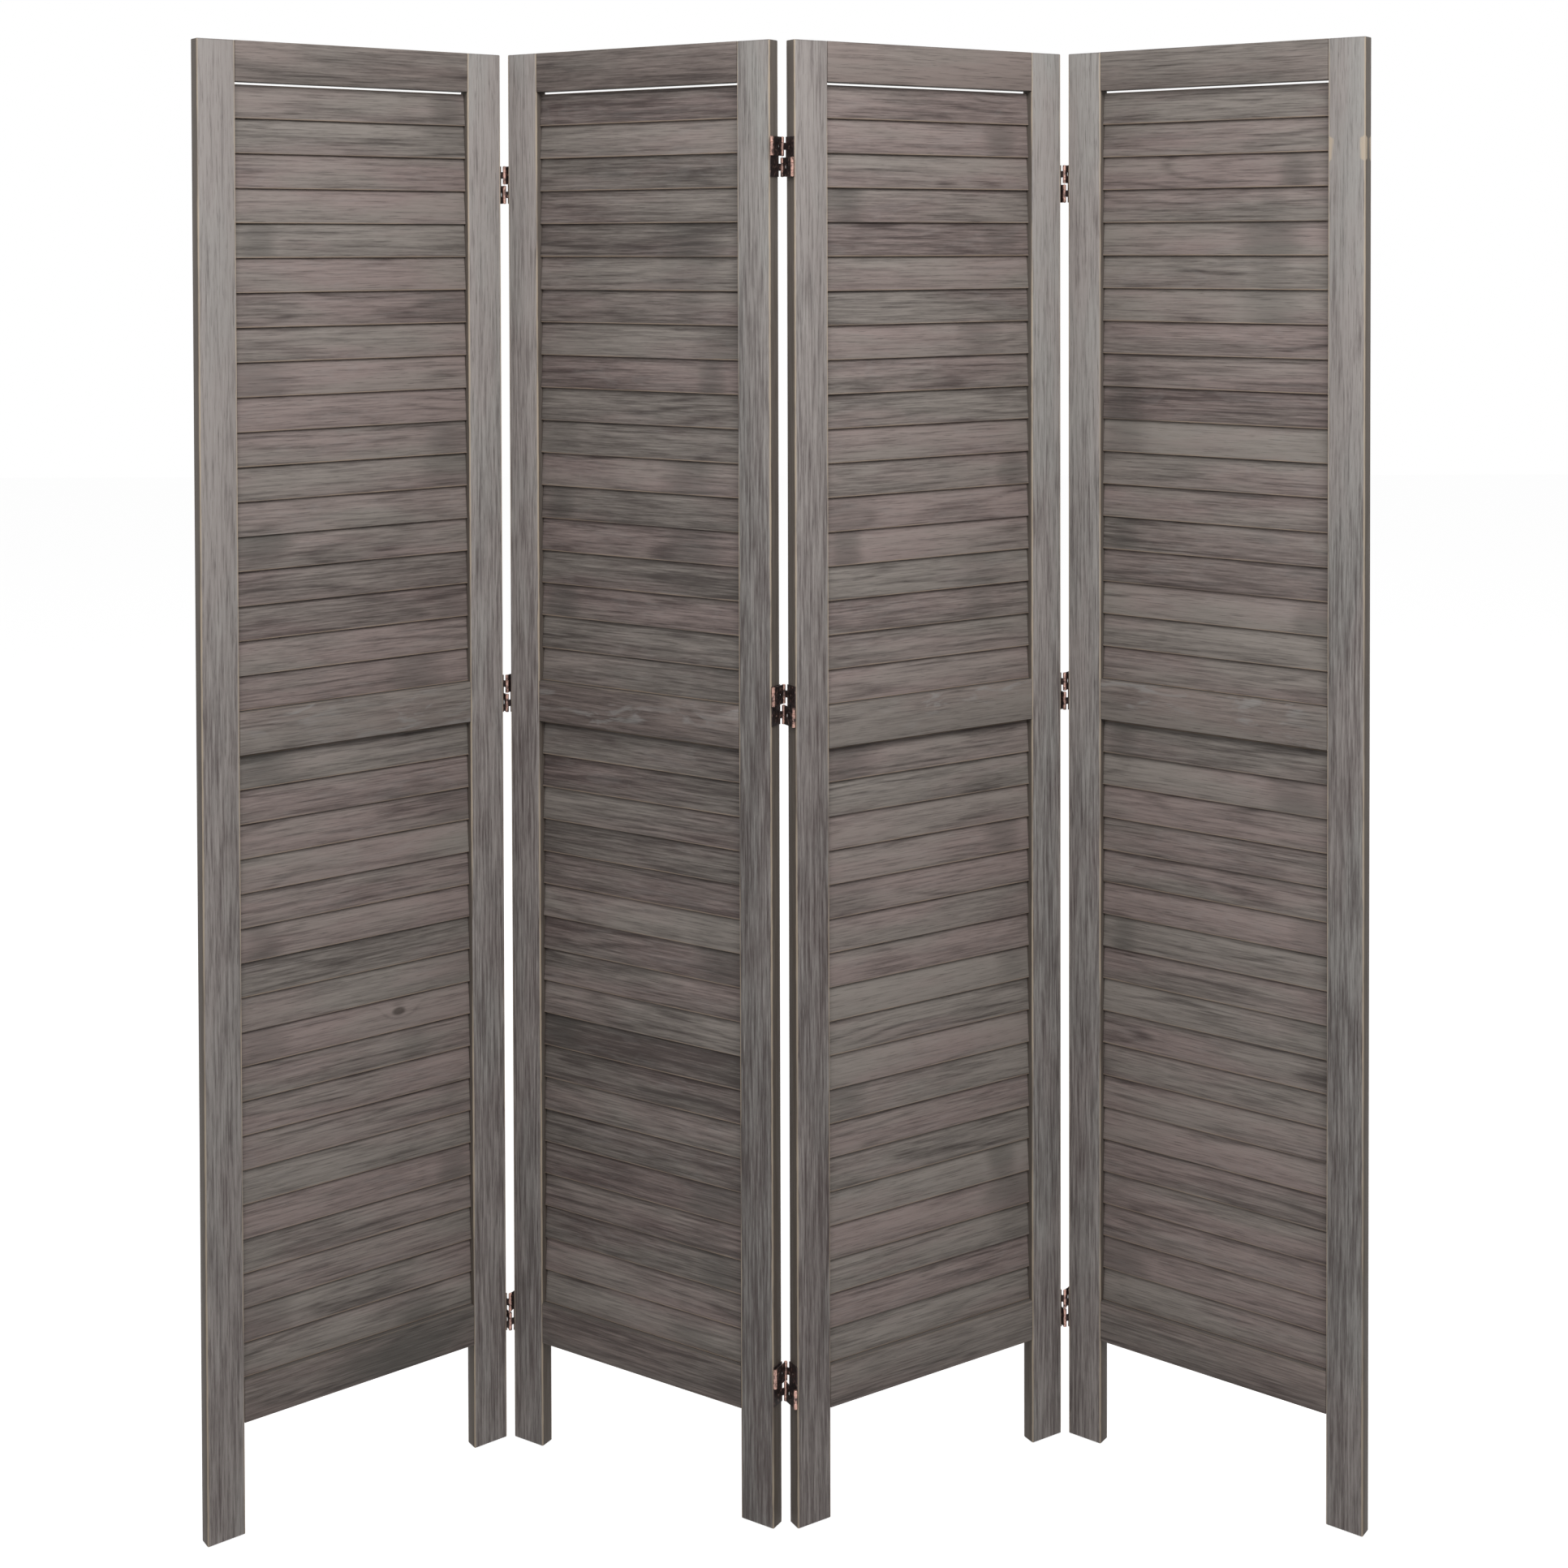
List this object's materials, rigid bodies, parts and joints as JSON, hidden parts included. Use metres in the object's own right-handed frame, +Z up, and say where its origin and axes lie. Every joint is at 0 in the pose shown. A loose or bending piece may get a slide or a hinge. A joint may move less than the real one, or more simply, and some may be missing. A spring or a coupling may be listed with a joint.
{
  "type": "folding screen",
  "caption": "Free-standing wooden folding screen: louvred panels with fixed slats on short legs, joined by double-acting metal screen hinges, shown open in a zigzag.",
  "frame": {"origin": "on the floor, in the middle of the outline of the screen as it stands in its zigzag", "axes": "+Z up, +X along the screen from the first panel to the fourth as seen from the front, +Y away from the viewer"},
  "size_m": [1.3984, 0.2688, 1.794],
  "materials": {
    "stile_wood": "grey stained open-grained softwood, matt, worn light on the arrises",
    "rail_wood": "grey-brown stained wood, matt",
    "slat_wood": "grey-brown stained thin boards, matt, each with its own tone",
    "hinge_metal": "dark bronzed steel, coppery where it is rubbed",
    "pin_metal": "bronzed steel wire with peened ends",
    "screw_metal": "dark bronzed countersunk screws"
  },
  "bodies": {
    "panel_1": {"hinge_1_left_leaves": "hinge_metal", "hinge_1_left_screws": "screw_metal", "hinge_1_lower_links": "hinge_metal", "hinge_1_lower_pins": "pin_metal", "panel_1_bottom_rail": "rail_wood", "panel_1_left_stile": "stile_wood", "panel_1_lower_slats": "slat_wood", "panel_1_middle_rail": "rail_wood", "panel_1_right_stile": "stile_wood", "panel_1_top_rail": "rail_wood", "panel_1_upper_slats": "slat_wood"},
    "panel_2": {"hinge_1_right_leaves": "hinge_metal", "hinge_1_right_screws": "screw_metal", "hinge_1_upper_links": "hinge_metal", "hinge_1_upper_pins": "pin_metal", "hinge_2_left_leaves": "hinge_metal", "hinge_2_left_screws": "screw_metal", "hinge_2_upper_links": "hinge_metal", "hinge_2_upper_pins": "pin_metal", "panel_2_bottom_rail": "rail_wood", "panel_2_left_stile": "stile_wood", "panel_2_lower_slats": "slat_wood", "panel_2_middle_rail": "rail_wood", "panel_2_right_stile": "stile_wood", "panel_2_top_rail": "rail_wood", "panel_2_upper_slats": "slat_wood"},
    "panel_3": {"hinge_2_lower_links": "hinge_metal", "hinge_2_lower_pins": "pin_metal", "hinge_2_right_leaves": "hinge_metal", "hinge_2_right_screws": "screw_metal", "hinge_3_left_leaves": "hinge_metal", "hinge_3_left_screws": "screw_metal", "hinge_3_lower_links": "hinge_metal", "hinge_3_lower_pins": "pin_metal", "panel_3_bottom_rail": "rail_wood", "panel_3_left_stile": "stile_wood", "panel_3_lower_slats": "slat_wood", "panel_3_middle_rail": "rail_wood", "panel_3_right_stile": "stile_wood", "panel_3_top_rail": "rail_wood", "panel_3_upper_slats": "slat_wood"},
    "panel_4": {"hinge_3_right_leaves": "hinge_metal", "hinge_3_right_screws": "screw_metal", "hinge_3_upper_links": "hinge_metal", "hinge_3_upper_pins": "pin_metal", "panel_4_bottom_rail": "rail_wood", "panel_4_left_stile": "stile_wood", "panel_4_lower_slats": "slat_wood", "panel_4_middle_rail": "rail_wood", "panel_4_right_stile": "stile_wood", "panel_4_top_rail": "rail_wood", "panel_4_upper_slats": "slat_wood"}
  },
  "joints": [
    {"name": "fold_1", "type": "hinge", "parent": "panel_2", "child": "panel_1", "pos_m": [-0.36397, 0.1069, 1], "axis": [0, 0, 1], "range_deg": [-68.1, 111.9]},
    {"name": "fold_2", "type": "hinge", "parent": "panel_2", "child": "panel_3", "pos_m": [-0.00177, -0.0845, 1], "axis": [0, 0, 1], "range_deg": [-63.1, 116.2]},
    {"name": "fold_3", "type": "hinge", "parent": "panel_3", "child": "panel_4", "pos_m": [0.35737, 0.11256, 1], "axis": [0, 0, -1], "range_deg": [-67.3, 112.7]}
  ]
}
